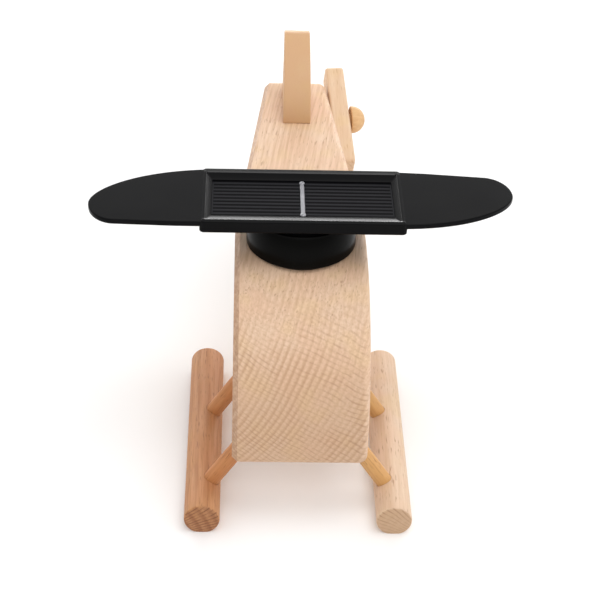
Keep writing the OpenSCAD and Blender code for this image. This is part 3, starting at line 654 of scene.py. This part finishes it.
def rotor_frame():
    """The moulding: the tray's walls, a flat ridge, a round brow inside it that is polished on the long
    sides, a dished slope down to the window, and a thin blade at each end. The lip is the wall's round
    top: how far in from the ends, how far in from the sides and how far below the ridge, in MM."""
    low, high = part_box("rotor_frame")
    half_l, half_w = HALF_TRAY, (high.y - low.y) / 2
    wall, floor, rim = 1.3 * MM, low.z, high.z
    ridge, brow, dish = (1.2 * MM, 1.35 * MM), 0.55 * MM, 0.6 * MM
    lip = [(0, 0, 0.45), (0.4, 0, 0.38), (0.5, 0.03, 0.27), (0.55, 0.12, 0.1), (0.8, 1, 0.02)]
    cell_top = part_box("solar_cell")[1].z
    corner, foot, brow_corner, sharp = 1 * MM, 0.8 * MM, 0.5 * MM, 0.12 * MM
    inner = (half_l - wall, half_w - wall, 0.4 * MM)
    rings = [(*inner, floor)]
    for r, z in arc((foot, foot), foot, -90, 0, 5):
        inset = foot - (r - foot)
        rings.append((half_l - inset, half_w - inset, corner, floor + z))
    rings += [(half_l - end * MM, half_w - side * MM, corner, rim - drop * MM) for end, side, drop in lip]
    for turn in np.linspace(0, math.radians(70), 6):
        inward, top = brow * math.sin(turn), rim - brow * (1 - math.cos(turn))
        end, side = half_l - ridge[0] - inward, half_w - ridge[1] - inward
        rings.append((end, side, brow_corner, top))
    for u in np.linspace(0.1, 1, 9):
        rings.append((end + u * (WINDOW[0] - end), side + u * (WINDOW[1] - side),
                      brow_corner + u * (sharp - brow_corner), top - dish * (1 - (1 - u) ** 1.5)))
    rings += [(*WINDOW, sharp, cell_top), (*inner, cell_top)]
    tray = loft([tray_ring(*ring) for ring in rings], closed=True)
    made = new_object("rotor_frame_moulding", tray, HUB_PLACE)
    blade_z, drop = rim - 0.3 * MM, 0.6 * MM
    droop = Matrix.Rotation(math.atan2(drop, BLADE_TIP - half_l), 4, "Y")
    hinge = Matrix.Translation((half_l, 0, blade_z)) @ droop @ Matrix.Translation((-half_l, 0, 0))
    blade = blade_shape()
    for turn in (0, math.pi):
        combine(made, [moved(blade, Matrix.Rotation(turn, 4, "Z") @ hinge)], "UNION")

    def on_brow(face):
        inset = half_w - ridge[1] - abs(face.center.y)
        return 0 < inset < brow and rim - brow < face.center.z < rim and abs(face.center.x) < half_l

    return dress(made, BLACK, "rotor_frame", POLISHED, on_brow)


def solar_cell():
    """The laminate, with its printed fingers and the two collector lines at its ends standing a hair
    proud of the dark face."""
    low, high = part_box("solar_cell")
    fingers, pitch, reach, half_w, rise = 10, 1.85 * MM, 25.9 * MM, 0.46 * MM, 0.03 * MM
    line_at, line_half = reach + 0.22 * MM, 0.2 * MM
    plate = [(low.x, low.y), (high.x, low.y), (high.x, high.y), (low.x, high.y)]
    points, faces = prism(plate, low.z, high.z - rise)
    plate_faces = len(faces)

    def strip(start, end, across, half):
        section = [(-half, -rise), (half, -rise), (half, 0), (half / 2, rise / 2), (-half / 2, rise / 2),
                   (-half, 0)]
        bar = loft([[at + v * across + Vector((0, 0, w)) for v, w in section] for at in (start, end)])
        faces.extend([[i + len(points) for i in face] for face in bar[1]])
        points.extend(bar[0])

    face_z = high.z - rise
    last = pitch * (fingers - 1) / 2
    for k in range(fingers):
        y = HUB.y - last + pitch * k
        strip(Vector((-reach, y, face_z)), Vector((reach, y, face_z)), Vector((0, 1, 0)), half_w)
    for x in (-line_at, line_at):
        strip(Vector((x, HUB.y - last - half_w, face_z)), Vector((x, HUB.y + last + half_w, face_z)),
              Vector((1, 0, 0)), line_half)
    made = new_object("solar_cell_laminate", (points, faces))
    return dress(made, SILICON, "solar_cell", PRINT, lambda face: face.index >= plate_faces)


def bus_ribbon():
    """A tinned ribbon pressed flat on the cell, with a solder crater at each end."""
    low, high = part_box("bus_ribbon")
    half_w, half_l, thick, lip = 0.6 * MM, 9.4 * MM, 0.15 * MM, 0.08 * MM
    rings = []
    for y in np.linspace(-half_l, half_l, 61):
        top = low.z + thick * (0.85 + 0.15 * math.sin(y / MM * 2.1) * math.sin(y / MM * 0.9))
        w = half_w * (1 + 0.03 * math.sin(y / MM * 1.3))
        rings.append([(x, HUB.y + y, z) for x, z in ((-w, low.z), (-w, top - lip), (-w + lip, top),
                                                     (w - lip, top), (w, top - lip), (w, low.z))])
    made = new_object("bus_ribbon_strip", loft(rings))
    solder_r, solder_h = 0.85 * MM, high.z - low.z
    crater = [(0, 0), (1, 0), (1, 0.35), (0.9, 0.7), (0.72, 0.95), (0.58, 1), (0.42, 0.85), (0.3, 0.5),
              (0.12, 0.45), (0, 0.45)]
    for y in (low.y + solder_r, high.y - solder_r):
        centre = Matrix.Translation((HUB.x, y, low.z))
        drop = turned([(r * solder_r, z * solder_h) for r, z in crater], 32)
        combine(made, [moved(drop, centre)], "UNION")
    return dress(made, SOLDER, "bus_ribbon")


def hidden_parts():
    """The motor, its leads, the cell's board and the fin's dowels keep their CAD shapes."""
    finish = {"motor_housing": BLACK, "fin_dowels": DOWEL, "cell_backing": BOARD, "motor_shaft": STEEL,
              "thrust_washer": BRASS, "armature_core": STEEL, "armature_windings": COPPER,
              "commutator": COPPER, "motor_can": STEEL, "motor_screws": STEEL, "motor_magnets": FERRITE,
              "motor_bushings": BRASS, "motor_end_cap": WHITE, "motor_brushes": COPPER,
              "motor_terminals": BRASS, "lead_positive": RED, "lead_negative": LEAD_BLACK}
    for node, material in finish.items():
        mesh = frame["nodes"][node].data
        mesh.materials.clear()
        mesh.materials.append(material)


# ---- Stage, light and camera ----

def stage():
    """A wide sheet of pale paper under the toy."""
    reach = 4
    corners = [(-reach, -reach, 0), (reach, -reach, 0), (reach, reach, 0), (-reach, reach, 0)]
    floor = new_object("floor", (corners, [(0, 1, 2, 3)]))
    paper = Material("paper", Roughness=0.9, Specular_IOR_Level=0.2)
    paper.set({"Base Color": (0.94, 0.94, 0.94, 1)})
    floor.data.materials.append(paper.data)


def sky():
    """A studio: bright behind the toy and overhead, darker low in front. Levels are by the sine of the
    height above the horizon."""
    behind = [(0, 1), (0.4, 1.05), (0.6, 0.95), (1, 0.9)]
    ahead = [(0, 0.3), (0.5, 0.7), (1, 0.9)]
    world = bpy.data.worlds.new("studio")
    bpy.context.scene.world = world
    world.use_nodes = True
    tree = world.node_tree
    split = tree.nodes.new("ShaderNodeSeparateXYZ")
    tree.links.new(tree.nodes.new("ShaderNodeTexCoord").outputs["Generated"], split.inputs[0])
    side = tree.nodes.new("ShaderNodeMapRange")
    side.interpolation_type = "SMOOTHSTEP"
    side.inputs["From Min"].default_value = -0.2
    side.inputs["From Max"].default_value = 0.35
    tree.links.new(split.outputs[1], side.inputs["Value"])
    blend = tree.nodes.new("ShaderNodeMix")
    blend.data_type = "RGBA"
    tree.links.new(side.outputs[0], blend.inputs[0])
    for stops, socket in ((ahead, 6), (behind, 7)):
        ramp = tree.nodes.new("ShaderNodeValToRGB")
        while len(ramp.color_ramp.elements) < len(stops):
            ramp.color_ramp.elements.new(0.5)
        for element, (place, level) in zip(ramp.color_ramp.elements, stops):
            element.position = place
            element.color = (level, level, level, 1)
        tree.links.new(split.outputs[2], ramp.inputs[0])
        tree.links.new(ramp.outputs[0], blend.inputs[socket])
    tree.links.new(blend.outputs[2], tree.nodes["Background"].inputs[0])


def softbox(name, place, aim, size, brightness):
    """A rectangular light panel. brightness is how bright its face is, beside a white floor's 1."""
    light = bpy.data.lights.new(name, "AREA")
    light.shape = "RECTANGLE"
    light.size, light.size_y = size
    light.energy = brightness * math.pi * size[0] * size[1]
    lamp = bpy.data.objects.new(name, light)
    bpy.context.scene.collection.objects.link(lamp)
    lamp.visible_camera = False
    lamp.location = place
    lamp.rotation_euler = (Vector(aim) - Vector(place)).to_track_quat("-Z", "Y").to_euler()


def camera():
    """A long lens in front of the nose, looking down."""
    aim, distance = Vector((-0.0006, -0.0510, 0.0618)), 0.5
    heading, pitch, roll = 0.041, math.radians(35), 0.037
    forward = Vector((math.sin(heading) * math.cos(pitch), math.cos(heading) * math.cos(pitch),
                      -math.sin(pitch)))
    right = Vector((math.cos(heading), -math.sin(heading), 0))
    up = right.cross(forward)
    x = math.cos(roll) * right + math.sin(roll) * up
    y = math.cos(roll) * up - math.sin(roll) * right
    lens = bpy.data.cameras.new("camera")
    lens.lens = 104.94
    eye = bpy.data.objects.new("camera", lens)
    bpy.context.scene.collection.objects.link(eye)
    eye.matrix_world = Matrix.Translation(aim - distance * forward) @ Matrix(
        (x, y, -forward)).transposed().to_4x4()
    bpy.context.scene.camera = eye


stage()
sky()
MIDDLE = (0, 0, 0.06)
softbox("key", (0.22, -0.1, 0.95), MIDDLE, (0.6, 0.6), 2)
softbox("front_fill", (0.1, -0.9, 0.85), MIDDLE, (0.8, 0.5), 2.2)
softbox("back_sweep", (0, 1.4, 0.24), MIDDLE, (1.7, 0.4), 6.5)
softbox("left_fill", (-1.3, -0.1, 0.3), MIDDLE, (0.8, 0.4), 0.5)
softbox("right_sweep", (1.3, -0.1, 0.3), MIDDLE, (0.8, 0.4), 1.7)
camera()
bpy.context.scene.view_settings.view_transform = "Standard"

fuselage()
# The left rod takes the beech that carries painted shade of the side away from the light.
skid("skid_left", "skid_left_rod", BEECH_LEFT_SHADED)
skid("skid_right", "skid_right_rod", BEECH_RIGHT)
for turn, node in enumerate(STRUTS):
    strut(node, 1.3 * turn)
tail_fin()
tail_rotor()
tail_rotor_peg()
rotor_base()
rotor_frame()
solar_cell()
bus_ribbon()
hidden_parts()
